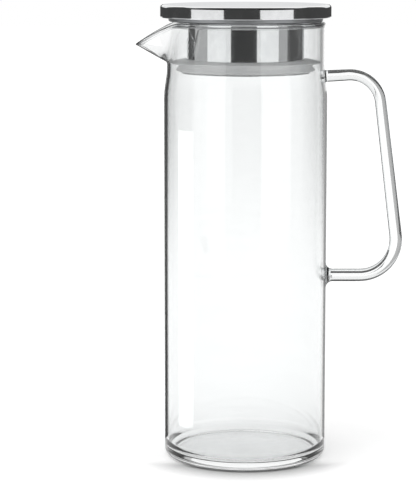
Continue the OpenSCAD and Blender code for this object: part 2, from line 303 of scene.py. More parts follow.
# Sizes of the handle, which the body needs for the rows behind its ends
handle = {
    "rod": 7.8, "drawn": 6.9, "arm": 7.4, "upperDrop": 33.1, "lowerDrop": 156.1,
    "upperBend": 18.8, "lowerBend": 22.2, "gripLean": 7.1, "armRise": 3,
    "upperFlare": 1.4, "lowerFlare": 4, "upperSeamShare": 0.7, "lowerSeamShare": 0.6,
    "seamDepth": 0.05, "sink": 0.9, "sides": 48, "step": 1.6, "flareStep": 0.3,
    "waveLength": 30, "waveDepth": 0.02,
}

# Glass body: one wall from the foot to the bead, closed over at the base
glass = {
    "wall": 2.2, "base": 4.5, "pushUp": 1.4, "heel": 4.6, "floorCorner": 7, "foot": 7,
    "neckIn": 1.8, "neck": 47, "shoulder": 20, "bead": 2.6, "wallRows": 20, "turnSteps": 384,
    "domeSteps": 16, "cornerSteps": 14, "shoulderSteps": 16, "hold": 0.3, "weldRow": 0.8,
    "clearTo": 12, "waveLength": 38, "waveDepth": 0.02,
}
spout = {
    "reach": 18.4, "drop": 12.8, "height": 24.6, "halfAngle": 31, "tipAngle": 1.6,
    "power": 1.7, "rootShare": 0.6, "spoutShadeFrom": 0.02,
}
# Painted shade in the body's glass: how dark its colour goes from face on to edge on, in the order of
# its material slots
bodyEdgeShades = {
    "borosilicateGlass": [(0.0, "#f7f8f8"), (0.78, "#f1f2f2"), (0.9, "#b9bcbd"), (0.97, "#4c4f50")],
    "borosilicateBase": [(0.0, "#fdfefe"), (0.7, "#fafbfb"), (0.9, "#e9ebec"), (0.97, "#c6cacc")],
    "fusedSeam": [],
    "borosilicateSpout": [(0.0, "#fbfbfb"), (0.5, "#f1f2f2"), (0.66, "#a3a6a7"), (0.84, "#121314")],
    "borosilicateBead": [(0.0, "#f9fafa"), (0.2, "#eceded"), (0.36, "#7b7e7f"), (0.54, "#191a1b")],
}
bodySlots = list(bodyEdgeShades)
neckRadius = bodyRadius - glass["neckIn"]
boreRadius = neckRadius - glass["wall"]
beadRadius = glass["bead"] / 2
beadMiddle = (boreRadius + beadRadius, rimTop - beadRadius)

# Depth of each end of the handle below the rim, and how far it covers the wall round its middle
welds = [(handle["upperDrop"], handle["arm"] / 2 + handle["upperFlare"] * handle["upperSeamShare"]),
         (handle["lowerDrop"], handle["rod"] / 2 + handle["lowerFlare"] * handle["lowerSeamShare"])]


def ease(t):
    return (1 - math.cos(math.pi * t)) / 2


# Low dome under or on the base, from the axis to the foot's inner edge
def basePoints(lift, radius):
    steps, rise = glass["domeSteps"], glass["pushUp"]
    return [(radius * i / steps, lift + rise * (1 - ease(i / steps))) for i in range(steps + 1)]


def shoulderPoints(inset):
    steps, low = glass["shoulderSteps"], rimTop - glass["neck"]
    return [(bodyRadius - inset - glass["neckIn"] * ease(i / steps),
             low + glass["shoulder"] * i / steps) for i in range(steps + 1)]


# Evenly spaced rows between two points, both left out
def rowsBetween(start, end, rows):
    return [(start[0] + (end[0] - start[0]) * i / (rows + 1),
             start[1] + (end[1] - start[1]) * i / (rows + 1)) for i in range(1, rows + 1)]


# Rows up the outer wall: one just above the heel, and a fine set behind the handle's lower end
def weldRows():
    middle = rimTop - handle["lowerDrop"]
    reach = handle["rod"] / 2 + handle["lowerFlare"] + glass["weldRow"]
    count = round(2 * reach / glass["weldRow"])
    rows = [(bodyRadius, glass["heel"] + glass["hold"])]
    return rows + [(bodyRadius, middle - reach + 2 * reach * i / count) for i in range(count + 1)]


def glassProfile():
    footRadius = bodyRadius - glass["heel"] - glass["foot"]
    heelMiddle = (bodyRadius - glass["heel"], glass["heel"])
    cornerMiddle = (bodyRadius - glass["wall"] - glass["floorCorner"],
                    glass["base"] + glass["floorCorner"])
    start = -math.degrees(math.acos((neckRadius - beadMiddle[0]) / beadRadius))
    hold, steps = glass["hold"], glass["cornerSteps"]
    bead = arcPoints(beadMiddle, beadRadius, start, 180, steps)
    outer = basePoints(0, footRadius) + [(heelMiddle[0] - hold, 0)]
    outer += arcPoints(heelMiddle, glass["heel"], -90, 0, steps)
    outer += weldRows()
    outer += shoulderPoints(0)
    outer += rowsBetween(outer[-1], bead[0], glass["wallRows"])
    inner = basePoints(glass["base"], footRadius)
    inner += arcPoints(cornerMiddle, glass["floorCorner"], -90, 0, steps)
    inner += [(inner[-1][0], inner[-1][1] + hold)]
    inner += shoulderPoints(glass["wall"])
    inner += rowsBetween(inner[-1], bead[-1], glass["wallRows"])
    return outer + bead + inner[::-1]


# How much of the spout's pull a point of the round glass gets, most at the rim and in the middle
def pullShare(x, y, z):
    foot = rimTop - spout["height"]
    up = min(1, max(0, (z - foot) / (beadMiddle[1] - foot)))
    turn = math.degrees(math.atan2(y, -x))
    half = spout["halfAngle"] * (spout["rootShare"] + (1 - spout["rootShare"]) * up)
    soft = math.sqrt(turn ** 2 + spout["tipAngle"] ** 2) - spout["tipAngle"]
    return up * max(0, 1 - soft / half) ** spout["power"]


# Draws the rim and the neck out and down to a beak
def pullSpout(piece):
    for vertex in piece.data.vertices:
        x, y, z = vertex.co / mm
        pull = pullShare(x, y, z)
        if pull > 0:
            out = 1 + spout["reach"] * pull / math.hypot(x, y)
            vertex.co = Vector((x * out, y * out, z - spout["drop"] * pull)) * mm


# Which glass a face of the body is, told before the spout is pulled
def glassOf(face):
    x, y, z = face.center / mm
    if z < glass["clearTo"]:
        return "borosilicateBase"
    if z > rimTop - glass["bead"]:
        return "borosilicateBead"
    return "borosilicateSpout" if pullShare(x, y, z) > spout["spoutShadeFrom"] else "borosilicateGlass"


glassBody = spinProfile("glassBody", glassProfile(), glass["turnSteps"], closed=False)
for face in glassBody.data.polygons:
    face.material_index = bodySlots.index(glassOf(face))
pullSpout(glassBody)
smoothPiece(glassBody, 60)
fusedSeam = makeSeam("fusedSeam")
for name, stops in bodyEdgeShades.items():
    edgeShadedGlass = makeGlass(name, stops, glass["waveLength"], glass["waveDepth"]) if stops else fusedSeam
    glassBody.data.materials.append(edgeShadedGlass)
for drop, reach in welds:
    seam = Vector((0, rimTop - drop)) * mm
    for face in glassBody.data.polygons:
        outside = face.center.x > 0 and face.normal.x > 0.5
        if outside and (Vector((face.center.y, face.center.z)) - seam).length < reach * mm:
            face.material_index = bodySlots.index("fusedSeam")
placePiece(glassBody, "pitcher", "glass", "glass_body")
print("glass body:", len(glassBody.data.polygons), "faces")

# Handle: circles set along the rod's path and bridged, wider where they melt into the wall
def handlePath():
    lean = math.radians(handle["gripLean"])
    rise = math.radians(handle["armRise"])
    gripOut = Vector((math.cos(lean), math.sin(lean)))
    gripUp = Vector((-math.sin(lean), math.cos(lean)))
    armOut = Vector((math.cos(rise), math.sin(rise)))
    armUp = Vector((-math.sin(rise), math.cos(rise)))
    lowerZ = rimTop - handle["lowerDrop"]
    upperZ = rimTop - handle["upperDrop"]
    lowerMiddle = Vector((handleEnd - handle["rod"] / 2 - handle["lowerBend"],
                          lowerZ + handle["lowerBend"]))
    gripFoot = lowerMiddle + handle["lowerBend"] * gripOut
    low = gripFoot - handle["upperBend"] * gripOut + handle["upperBend"] * armUp
    gripLength = ((upperZ + math.tan(rise) * (low.x - neckRadius) - low.y)
                  / (math.cos(lean) + math.tan(rise) * math.sin(lean)))
    gripHead = gripFoot + gripLength * gripUp
    upperMiddle = gripHead - handle["upperBend"] * gripOut
    armEnd = upperMiddle + handle["upperBend"] * armUp
    armFoot = Vector((neckRadius, upperZ))
    stations = []   # place, direction in degrees, rod's radius, distance to the nearer wall

    def straight(start, end, direction, radii, wallAt=None, flare=0):
        length = (end - start).length
        count = max(2, round(length / handle["step"]))
        shares = [i / count for i in range(count + 1)]
        if flare:
            extra = round(flare / handle["flareStep"])
            near = [handle["flareStep"] * i / length for i in range(extra + 1)]
            shares = sorted(set(shares + [n if wallAt == 0 else 1 - n for n in near]))
        for share in shares:
            radius = radii[0] + (radii[1] - radii[0]) * share
            gap = length * abs(share - wallAt) if flare else flare
            if flare and gap < flare:
                radius += flare - math.sqrt(flare ** 2 - (flare - gap) ** 2)
            stations.append((start + (end - start) * share, direction, radius))

    def bent(middle, bend, first, last, radii):
        count = round(abs(math.radians(last - first)) * bend / handle["step"])
        for i in range(1, count):
            angle = first + (last - first) * i / count
            out = Vector((math.cos(math.radians(angle)), math.sin(math.radians(angle))))
            radius = radii[0] + (radii[1] - radii[0]) * i / count
            stations.append((middle + bend * out, angle - 90, radius))

    armR, drawnR, rodR = handle["arm"] / 2, handle["drawn"] / 2, handle["rod"] / 2
    riseDeg, leanDeg = handle["armRise"], handle["gripLean"]
    straight(armFoot, armEnd, riseDeg, (armR, drawnR), 0, handle["upperFlare"])
    bent(upperMiddle, handle["upperBend"], 90 + riseDeg, leanDeg, (drawnR, drawnR))
    straight(gripHead, gripFoot, leanDeg - 90, (drawnR, rodR))
    bent(lowerMiddle, handle["lowerBend"], leanDeg, -90, (rodR, rodR))
    straight(Vector((lowerMiddle.x, lowerZ)), Vector((bodyRadius, lowerZ)), -180, (rodR, rodR),
             1, handle["lowerFlare"])
    first, last = stations[0], stations[-1]
    stations.insert(0, (first[0] - handle["sink"] * armOut, first[1], first[2]))
    stations.append((last[0] - Vector((handle["sink"], 0)), last[1], last[2]))
    return stations


def makeHandle():
    stations = handlePath()
    deselectAll()
    for i, (spot, direction, radius) in enumerate(stations):
        bpy.ops.mesh.primitive_circle_add(
            vertices=handle["sides"], radius=radius * mm, location=Vector((spot.x, 0, spot.y)) * mm,
            rotation=(0, math.radians(90 - direction), 0))
        if i == 0:
            piece = bpy.context.object
            piece.name = "glassHandle"
            bpy.ops.object.transform_apply(location=True, rotation=True, scale=True)
            bpy.ops.object.mode_set(mode="EDIT")
    bpy.ops.mesh.select_all(action="SELECT")
    bpy.ops.mesh.bridge_edge_loops()
    bpy.ops.mesh.select_all(action="DESELECT")
    bpy.ops.mesh.select_non_manifold()
    bpy.ops.mesh.edge_face_add()
    bpy.ops.mesh.select_all(action="SELECT")
    bpy.ops.mesh.normals_make_consistent(inside=False)
    bpy.ops.object.mode_set(mode="OBJECT")
    return piece


# Near the wall the rod's end leans back with the wall's curve, and inside it the faces are seam
def fitToWall(piece, middleZ, wallRadius, flare):
    near = wallRadius + flare
    for vertex in piece.data.vertices:
        x, y, z = vertex.co / mm
        if abs(z - middleZ) < handle["rod"] + flare and x < near:
            share = min(1, (near - x) / flare)
            vertex.co.x -= share * (wallRadius - math.sqrt(wallRadius ** 2 - y ** 2)) * mm


glassHandle = makeHandle()
upperWeldZ, lowerWeldZ = rimTop - handle["upperDrop"], rimTop - handle["lowerDrop"]
upShoulder = (glass["neck"] - handle["upperDrop"]) / glass["shoulder"]
upperWall = bodyRadius - glass["neckIn"] * ease(upShoulder)
fitToWall(glassHandle, upperWeldZ, upperWall, handle["upperFlare"])
fitToWall(glassHandle, lowerWeldZ, bodyRadius, handle["lowerFlare"])
smoothPiece(glassHandle, 60)
# The rod's colour is painted darker edge on as well: painted shade for its dark edge lines
rodGlass = makeGlass("borosilicateRod",
                     [(0.0, "#f5f6f6"), (0.25, "#eceeee"), (0.45, "#aeb1b2"), (0.7, "#585b5c")],
                     handle["waveLength"], handle["waveDepth"])
glassHandle.data.materials.append(rodGlass)
glassHandle.data.materials.append(fusedSeam)
for face in glassHandle.data.polygons:
    distance = math.hypot(face.center.x, face.center.y) / mm
    atUpperEnd = face.center.z / mm > (upperWeldZ + lowerWeldZ) / 2
    wallHere = upperWall if atUpperEnd else bodyRadius
    face.material_index = int(distance < wallHere - handle["seamDepth"])
placePiece(glassHandle, "pitcher", "glass", "glass_handle")
print("glass handle:", len(glassHandle.data.polygons), "faces")

# Lid cover: drawn cap with a rounded upper edge and a curl that closes the lower one
cover = {
    "sheet": 0.8, "edge": 1.8, "curl": 1.4, "hold": 0.1, "turnSteps": 256, "topRings": (0.3, 0.6, 0.9),
    "brushRing": 1.1, "curlShadeShare": 0.4, "paintedHighlightShare": 0.27,
}


def coverProfile():
    edgeMiddle = (coverRadius - cover["edge"], coverTop - cover["edge"])
    curl = cover["curl"] / 2
    curlMiddle = (coverRadius - curl, coverFoot + curl)
    profile = [(0, coverTop - cover["sheet"]), (0, coverTop)]
    profile += [(coverRadius * share, coverTop) for share in cover["topRings"]]
    profile += arcPoints(edgeMiddle, cover["edge"], 90, 0, 10)
    profile += [(coverRadius, edgeMiddle[1] - cover["hold"]),
                (coverRadius, curlMiddle[1] + cover["hold"])]
    profile += arcPoints(curlMiddle, curl, 0, -270, 16)
    profile += [(coverRadius - cover["sheet"], coverFoot + cover["curl"])]
    profile += arcPoints(edgeMiddle, cover["edge"] - cover["sheet"], 0, 90, 6)
    return profile


lidCover = spinProfile("lidCover", coverProfile(), cover["turnSteps"])
smoothPiece(lidCover, 50)
lidCover.data.materials.append(makeBrushedSteel("brushedStainlessSteel", cover["brushRing"]))
lidCover.data.materials.append(makePolishedSteel("polishedStainlessSteel", "#dadbdc", "#e4e5e6"))
# Near-white steel on the upper part of the rounded edge: a painted highlight
lidCover.data.materials.append(makePolishedSteel("paintedHighlightEdgeSteel", "#f0f1f1", "#f6f7f7"))
# Dark steel on the underside of the curl: painted shade under the cover's edge
lidCover.data.materials.append(makePolishedSteel("curlShadeEdgeSteel", "#8e9092", "#9b9d9f"))
brushed, polished, paintedHighlight, curlShade = range(4)     # the four slots above
for face in lidCover.data.polygons:
    below = coverTop - face.center.z / mm
    height = face.center.z / mm - coverFoot
    if height < cover["curl"] * cover["curlShadeShare"]:
        face.material_index = curlShade
    elif face.normal.z > 0.99:
        face.material_index = brushed
    else:
        atEdge = below < cover["edge"] * cover["paintedHighlightShare"]
        face.material_index = paintedHighlight if atEdge else polished
placePiece(lidCover, "lid", "brushed_lid_steel", "lid_cover")
print("lid cover:", len(lidCover.data.polygons), "faces")

# Lid plate: pressed sheet with the step that sits on the rim
plate = {"sheet": 0.8, "stepIn": 1.2, "bend": 1.0, "turnSteps": 256, "satin": (0.4, 0.5)}


def plateProfile():
    sheet, bend = plate["sheet"], plate["bend"]
    stepRadius = neckRadius - plate["stepIn"]
    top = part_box("lid_plate")[1].z / mm
    profile = [(0, plateFoot), (stepRadius * 0.5, plateFoot)]
    profile += arcPoints((stepRadius - bend, plateFoot + bend), bend, -90, 0, 8)
    profile += [(stepRadius, top - sheet), (plateRadius, top - sheet), (plateRadius, top)]
    profile += [(stepRadius - sheet, top), (stepRadius - sheet, plateFoot + bend)]
    profile += [(stepRadius - bend, plateFoot + sheet), (0, plateFoot + sheet)]
    return profile


lidPlate = spinProfile("lidPlate", plateProfile(), plate["turnSteps"])
smoothPiece(lidPlate, 40)
# The plate's steel is darker than the cover's: painted shade under the cover's curl. Its satin
# roughness is the pressed finish.
lidPlate.data.materials.append(
    makePolishedSteel("shadedPressedStainlessSteel", "#9a9c9e", "#a8aaac", plate["satin"]))
placePiece(lidPlate, "lid", "plate_steel", "lid_plate")
print("lid plate:", len(lidPlate.data.polygons), "faces")

# Strainer: sleeve with a flange and a lip, drilled on the spout's side and cut for the window
strainer = {
    "sheet": 0.6, "lip": 3.6, "flange": 2.4, "corner": 0.6, "hole": 2, "pitch": 3.4,
    "columns": 13, "rows": 4, "land": 1.2, "hold": 0.1, "turnSteps": 256, "holeSides": 28,
    "windowWide": 11.5, "windowHigh": 10.2, "windowCorner": 1.6, "cutDepth": 5, "roundFrom": 0.97,
    "skin": 0.05, "flangeShare": 0.9,
}
sleeveRadius = lipRadius - strainer["lip"]


def strainerProfile():
    sheet, corner = strainer["sheet"], strainer["corner"]
    inside = sleeveRadius - sheet
    flange = sleeveRadius + strainer["flange"]
    lipMiddle = (lipRadius - sheet / 2, sleeveFoot + sheet / 2)
    profile = arcPoints((inside + corner, sleeveFoot + corner), corner, 180, 270, 5)
    profile += arcPoints(lipMiddle, sheet / 2, -90, 90, 6)
    profile += arcPoints((sleeveRadius + corner, sleeveFoot + sheet + corner), corner, 270, 180, 5)
    profile += [(sleeveRadius, sleeveFoot + sheet + corner + strainer["hold"]),
                (sleeveRadius, plateFoot - sheet - corner - strainer["hold"])]
    profile += arcPoints((sleeveRadius + corner, plateFoot - sheet - corner), corner, 180, 90, 5)
    profile += [(flange, plateFoot - sheet), (flange, plateFoot), (inside, plateFoot)]
    return profile


# One cutter for every hole, and a rounded block for the window
def strainerCutters():
    holeZ = ringTop + strainer["land"] + strainer["hole"] / 2
    step = strainer["pitch"] * math.cos(math.radians(30)) / sleeveRadius
    deselectAll()
    first = True
    for column in range(strainer["columns"]):
        turn = math.pi + (column - (strainer["columns"] - 1) / 2) * step
        for row in range(strainer["rows"] - column % 2):
            height = holeZ + (row + (column % 2) / 2) * strainer["pitch"]
            spot = Vector((math.cos(turn) * sleeveRadius, math.sin(turn) * sleeveRadius, height))
            bpy.ops.mesh.primitive_cylinder_add(
                vertices=strainer["holeSides"], radius=strainer["hole"] / 2 * mm,
                depth=strainer["cutDepth"] * mm, location=spot * mm,
                rotation=(0, math.pi / 2, turn))
            if first:
                cutter = bpy.context.object
                bpy.ops.object.transform_apply(location=True, rotation=True, scale=True)
                bpy.ops.object.mode_set(mode="EDIT")
                first = False
    bpy.ops.object.mode_set(mode="OBJECT")
    wide, high = strainer["windowWide"], strainer["windowHigh"]
    deselectAll()
    middle = Vector((sleeveRadius, 0, ringTop + strainer["land"] + high / 2))
    bpy.ops.mesh.primitive_cube_add(size=1, location=middle * mm)
    block = bpy.context.object
    block.scale = Vector((strainer["cutDepth"], wide, high)) * mm
    bpy.ops.object.transform_apply(location=True, rotation=True, scale=True)
    weights = block.data.attributes.new("bevel_weight_edge", "FLOAT", "EDGE")
    for edge in block.data.edges:
        ends = [block.data.vertices[v].co for v in edge.vertices]
        weights.data[edge.index].value = float(abs((ends[0] - ends[1]).x) > mm)
    applyModifier(block, "BEVEL", width=strainer["windowCorner"] * mm, segments=6,
                  limit_method="WEIGHT")
    return cutter, block


# Boolean cuts leave flat shading beside them, so the sleeve's faces get round normals again
def roundSleeveNormals(piece):
    mesh = piece.data
    wanted = []
    for face in mesh.polygons:
        for index in face.loop_indices:
            spot = mesh.vertices[mesh.loops[index].vertex_index].co
            out = Vector((spot.x, spot.y, 0)).normalized()
            along = face.normal.dot(out)
            onSleeve = abs(along) > strainer["roundFrom"]
            wanted.append(out * math.copysign(1, along) if onSleeve else (0, 0, 0))
    mesh.normals_split_custom_set(wanted)


strainerSleeve = spinProfile("strainerSleeve", strainerProfile(), strainer["turnSteps"])
for cutter in strainerCutters():
    applyModifier(strainerSleeve, "BOOLEAN", operation="DIFFERENCE", object=cutter)
    bpy.data.objects.remove(cutter)
smoothPiece(strainerSleeve, 40)
roundSleeveNormals(strainerSleeve)
strainerSleeve.data.materials.clear()
strainerSleeve.data.materials.append(makePolishedSteel("mirrorStainlessSteel", "#dfe0e1", "#e9eaea"))
strainerSleeve.data.materials.append(makePolishedSteel("shadedSleeveSteel", "#66686a", "#737577"))
# Darker steel on the flange and its bend: painted shade under the plate
strainerSleeve.data.materials.append(makePolishedSteel("flangeShadeSteel", "#aeb0b2", "#babcbe"))
mirror, shaded, flange = range(3)       # the three slots above
flangeFoot = plateFoot - strainer["sheet"] - strainer["corner"] * strainer["flangeShare"]
for face in strainerSleeve.data.polygons:
    distance = math.hypot(face.center.x, face.center.y) / mm
    atFlange = face.center.z / mm > flangeFoot
    if distance < sleeveRadius - strainer["skin"]:
        face.material_index = shaded
    else:
        face.material_index = flange if atFlange else mirror
placePiece(strainerSleeve, "lid", "polished_steel", "strainer")
print("strainer:", len(strainerSleeve.data.polygons), "faces")

# Soft ring: a long thin upper fin and a short lower one
ring = {
    "wall": 4.8, "gap": 0.2, "fin": 1.9, "finEdge": 1.0, "droop": 0.9, "lowFin": 1.6,
    "lowFinHigh": 2.6, "corner": 0.3, "turnSteps": 256,
}


def ringProfile():
    bore = sleeveRadius + ring["gap"]
    wall = bore + ring["wall"]
    corner, edge, lowFin = ring["corner"], ring["finEdge"], ring["lowFin"]
    low = ringFoot + ring["lowFinHigh"] / 2
    tip = (finRadius - edge / 2, ringTop - ring["droop"] - edge / 2)
    profile = arcPoints((bore + corner, ringFoot + corner), corner, 180, 270, 4)
    profile += [(wall - lowFin / 2, ringFoot)]
    profile += arcPoints((wall + lowFin - edge / 4, low), edge / 4, -60, 90, 6)
    profile += arcPoints((wall + lowFin / 2, ringFoot + ring["lowFinHigh"] + lowFin / 2),
                         lowFin / 2, 270, 180, 8)
    profile += arcPoints((wall + corner, ringTop - ring["fin"] - corner), corner, 180, 110, 4)
    profile += arcPoints(tip, edge / 2, -80, 80, 8)
    profile += [(wall, ringTop)]
    profile += arcPoints((bore + corner, ringTop - corner), corner, 90, 180, 4)
    return profile


sealRing = spinProfile("sealRing", ringProfile(), ring["turnSteps"])
smoothPiece(sealRing, 50)
sealRing.data.materials.append(makeSilicone("siliconeRubber"))
placePiece(sealRing, "seal", "silicone", "seal_ring")
print("soft ring:", len(sealRing.data.polygons), "faces")

# The core stays as its CAD node
lidCore = frame["nodes"]["lid_core"]
lidCore.data.materials.clear()
lidCore.data.materials.append(makeMouldedPlastic("mouldedAbs"))

# Studio: white table and white surround. Dark and grey screens round the table, which only
# polished faces see, give the steel its bands.
studio = {
    "table": 6000, "screenRadius": 450, "screenStep": 3, "lowFoot": 5, "split": 247,
    "middleTop": 330, "rearTop": 330, "gapFoot": 335, "screenTop": 700, "fade": (20, 200),
    "dark": 0.065, "grey": 0.48, "ambient": 0.82, "key": 0.55, "keySpread": 50,
    "keyFrom": (-0.5, -0.45, 1.0), "lift": 0.28, "underGlassGlow": 0.42, "ceiling": 0.012,
    "softbox": 4.0, "underGlass": (47.5, 44.5), "paintedShadowReach": 22, "paintedShadowPower": 1.2,
    "paintedShadowTurn": (-0.97, -0.3),
}
topLimit = coverRadius - cover["edge"] + 0.1    # radius just outside the cover's flat top
wallLimit = bodyRadius + 0.5                    # radius just outside the body's wall


def makeTable():
    deselectAll()
    bpy.ops.mesh.primitive_circle_add(vertices=128, radius=studio["table"] * mm, fill_type="NGON",
                                      location=(0, 0, -0.05 * mm))
    bpy.ops.object.transform_apply(location=True)
    table = bpy.context.object
    table.name = "tableTop"
    material = newMaterial("whiteTable")
    place = addNode(material, "ShaderNodeTexCoord")
    paper = addNode(material, "ShaderNodeTexNoise", {"Scale": 1 / (60 * mm), "Detail": 2.0},
                    {"Vector": place.outputs["Object"]})
    tone = addNode(material, "ShaderNodeValToRGB", links={"Fac": paper.outputs["Fac"]})
    setRamp(tone, [(0.3, "#f4f4f4"), (0.7, "#f8f8f8")])
    # A painted shadow darkens the table in front of the foot, from an ambient occlusion node. Under
    # the glass the table glows brighter to light through the glass: painted light.
    corner = addNode(material, "ShaderNodeAmbientOcclusion",
                     {"samples": 16, "Distance": studio["paintedShadowReach"] * mm})
    paintedShadow = addNode(material, "ShaderNodeMath", {"operation": "POWER", 1: studio["paintedShadowPower"]},
                      {0: corner.outputs["AO"]})
    radius = addNode(material, "ShaderNodeVectorMath", {"operation": "LENGTH"},
                     {0: place.outputs["Object"]})
    outer, inner = studio["underGlass"]
    under = addNode(material, "ShaderNodeMapRange",
                    {"From Min": outer * mm, "From Max": inner * mm},
                    {"Value": radius.outputs["Value"]})
    ray = addNode(material, "ShaderNodeLightPath")
    parts = addNode(material, "ShaderNodeSeparateXYZ", links={"Vector": place.outputs["Object"]})
    turn = addNode(material, "ShaderNodeMath", {"operation": "DIVIDE"},
                   {0: parts.outputs["Y"], 1: radius.outputs["Value"]})
    front, side = studio["paintedShadowTurn"]
    beside = addNode(material, "ShaderNodeMapRange",
                     {"interpolation_type": "SMOOTHSTEP", "From Min": front, "From Max": side},
                     {"Value": turn.outputs["Value"]})
    rear = addNode(material, "ShaderNodeMath", {"operation": "MAXIMUM"},
                   {0: under.outputs["Result"], 1: beside.outputs["Result"]})
    clear = addNode(material, "ShaderNodeMath", {"operation": "MAXIMUM"},
                    {0: rear.outputs["Value"], 1: ray.outputs["Is Transmission Ray"]})
    shade = addNode(material, "ShaderNodeMath", {"operation": "MAXIMUM"},
                    {0: paintedShadow.outputs["Value"], 1: clear.outputs["Value"]})
    shaded = addNode(material, "ShaderNodeVectorMath", {"operation": "SCALE"},
                     {0: tone.outputs["Color"], "Scale": shade.outputs["Value"]})
    sheet = addNode(material, "ShaderNodeBsdfDiffuse", links={"Color": shaded.outputs["Vector"]})
    others = addNode(material, "ShaderNodeMath", {"operation": "SUBTRACT", 0: 1.0},
                     {1: ray.outputs["Is Diffuse Ray"]})
    seen = addNode(material, "ShaderNodeMath", {"operation": "MULTIPLY"},
                   {0: others.outputs["Value"], 1: shade.outputs["Value"]})
    through = addNode(material, "ShaderNodeMath", {"operation": "MULTIPLY"},
                      {0: under.outputs["Result"], 1: ray.outputs["Is Transmission Ray"]})
    level = addNode(material, "ShaderNodeMapRange",
                    {"To Min": studio["lift"], "To Max": studio["underGlassGlow"]},
                    {"Value": through.outputs["Value"]})
    lift = addNode(material, "ShaderNodeMath", {"operation": "MULTIPLY"},
                   {0: seen.outputs["Value"], 1: level.outputs["Result"]})
    glow = addNode(material, "ShaderNodeEmission", links={"Strength": lift.outputs["Value"]})
    both = addNode(material, "ShaderNodeAddShader", links={0: sheet.outputs["BSDF"],
                                                           1: glow.outputs["Emission"]})
    table.data.materials.append(finishMaterial(material, both.outputs["Shader"]))


# What a stage card shows: its tone where the switches say so, and nothing elsewhere
def makeCardTone(name, tone, share):
    material = newMaterial(name)
    ray = addNode(material, "ShaderNodeLightPath")
    place = addNode(material, "ShaderNodeTexCoord")
    parts = addNode(material, "ShaderNodeSeparateXYZ", links={"Vector": place.outputs["Object"]})
    seen = share(material, ray, parts)
    clear = addNode(material, "ShaderNodeBsdfTransparent")
    glow = addNode(material, "ShaderNodeEmission", {"Strength": tone})
    card = addNode(material, "ShaderNodeMixShader", links={
        0: seen.outputs["Value"], 1: clear.outputs["BSDF"], 2: glow.outputs["Emission"]})
    return finishMaterial(material, card.outputs["Shader"])


# A screen shows once light has been reflected. Its foot fades out into the table.
def screenShare(material, ray, parts):
    bounced = addNode(material, "ShaderNodeMath", {"operation": "GREATER_THAN", 1: 0.5},
                      {0: ray.outputs["Glossy Depth"]})
    fade = addNode(material, "ShaderNodeMapRange",
                   {"interpolation_type": "SMOOTHSTEP", "From Min": studio["fade"][0] * mm,
                    "From Max": studio["fade"][1] * mm}, {"Value": parts.outputs["Z"]})
    return addNode(material, "ShaderNodeMath", {"operation": "MULTIPLY"},
                   {0: bounced.outputs["Value"], 1: fade.outputs["Result"]})


# 1 where the light last left a surface further from the pitcher's axis than this, in millimetres
def leftOutside(material, ray, limit):
    seen = addNode(material, "ShaderNodeNewGeometry")
    back = addNode(material, "ShaderNodeVectorMath", {"operation": "SCALE"},
                   {0: seen.outputs["Incoming"], "Scale": ray.outputs["Ray Length"]})
    source = addNode(material, "ShaderNodeVectorMath", {"operation": "ADD"},
                     {0: seen.outputs["Position"], 1: back.outputs["Vector"]})
    level = addNode(material, "ShaderNodeVectorMath", {"operation": "MULTIPLY", 1: (1, 1, 0)},
                    {0: source.outputs["Vector"]})
    radius = addNode(material, "ShaderNodeVectorMath", {"operation": "LENGTH"},
                     {0: level.outputs["Vector"]})
    return addNode(material, "ShaderNodeMath", {"operation": "GREATER_THAN", 1: limit * mm},
                   {0: radius.outputs["Value"]})


# An upper screen shows only to the cover's side and edge, so that the cover's top stays light
def upperShare(material, ray, parts):
    screen = screenShare(material, ray, parts)
    outside = leftOutside(material, ray, topLimit)
    return addNode(material, "ShaderNodeMath", {"operation": "MULTIPLY"},
                   {0: screen.outputs["Value"], 1: outside.outputs["Value"]})


# A middle screen shows only to what lies within the cover's edge
def middleShare(material, ray, parts):
    screen = screenShare(material, ray, parts)
    outside = leftOutside(material, ray, topLimit)
    inside = addNode(material, "ShaderNodeMath", {"operation": "SUBTRACT", 0: 1.0},
                     {1: outside.outputs["Value"]})
    return addNode(material, "ShaderNodeMath", {"operation": "MULTIPLY"},
                   {0: screen.outputs["Value"], 1: inside.outputs["Value"]})


# 1 for light that has crossed no more than so many glass surfaces
def crossedAtMost(material, ray, most):
    return addNode(material, "ShaderNodeMath", {"operation": "LESS_THAN", 1: most + 0.5},
                   {0: ray.outputs["Transmission Depth"]})


# A rod's flag shows straight through the handle alone, and not where the glass turns light back
def rodShare(material, ray, parts):
    few = crossedAtMost(material, ray, 2)
    straight = addNode(material, "ShaderNodeMath", {"operation": "LESS_THAN", 1: 0.5},
                       {0: ray.outputs["Glossy Depth"]})
    through = addNode(material, "ShaderNodeMath", {"operation": "MULTIPLY"},
                      {0: few.outputs["Value"], 1: straight.outputs["Value"]})
    outside = leftOutside(material, ray, wallLimit)
    return addNode(material, "ShaderNodeMath", {"operation": "MULTIPLY"},
                   {0: through.outputs["Value"], 1: outside.outputs["Value"]})


# A flag over the lower arm, which shows from below alone
def underShare(material, ray, parts):
    rod = rodShare(material, ray, parts)
    side = addNode(material, "ShaderNodeNewGeometry")
    return addNode(material, "ShaderNodeMath", {"operation": "MULTIPLY"},
                   {0: rod.outputs["Value"], 1: side.outputs["Backfacing"]})


# An edge flag shows to light that the wall has turned back
def edgeShare(material, ray, parts):
    few = crossedAtMost(material, ray, 2)
    turned = addNode(material, "ShaderNodeMath", {"operation": "GREATER_THAN", 1: 0.5},
                     {0: ray.outputs["Glossy Depth"]})
    return addNode(material, "ShaderNodeMath", {"operation": "MULTIPLY"},
                   {0: few.outputs["Value"], 1: turned.outputs["Value"]})


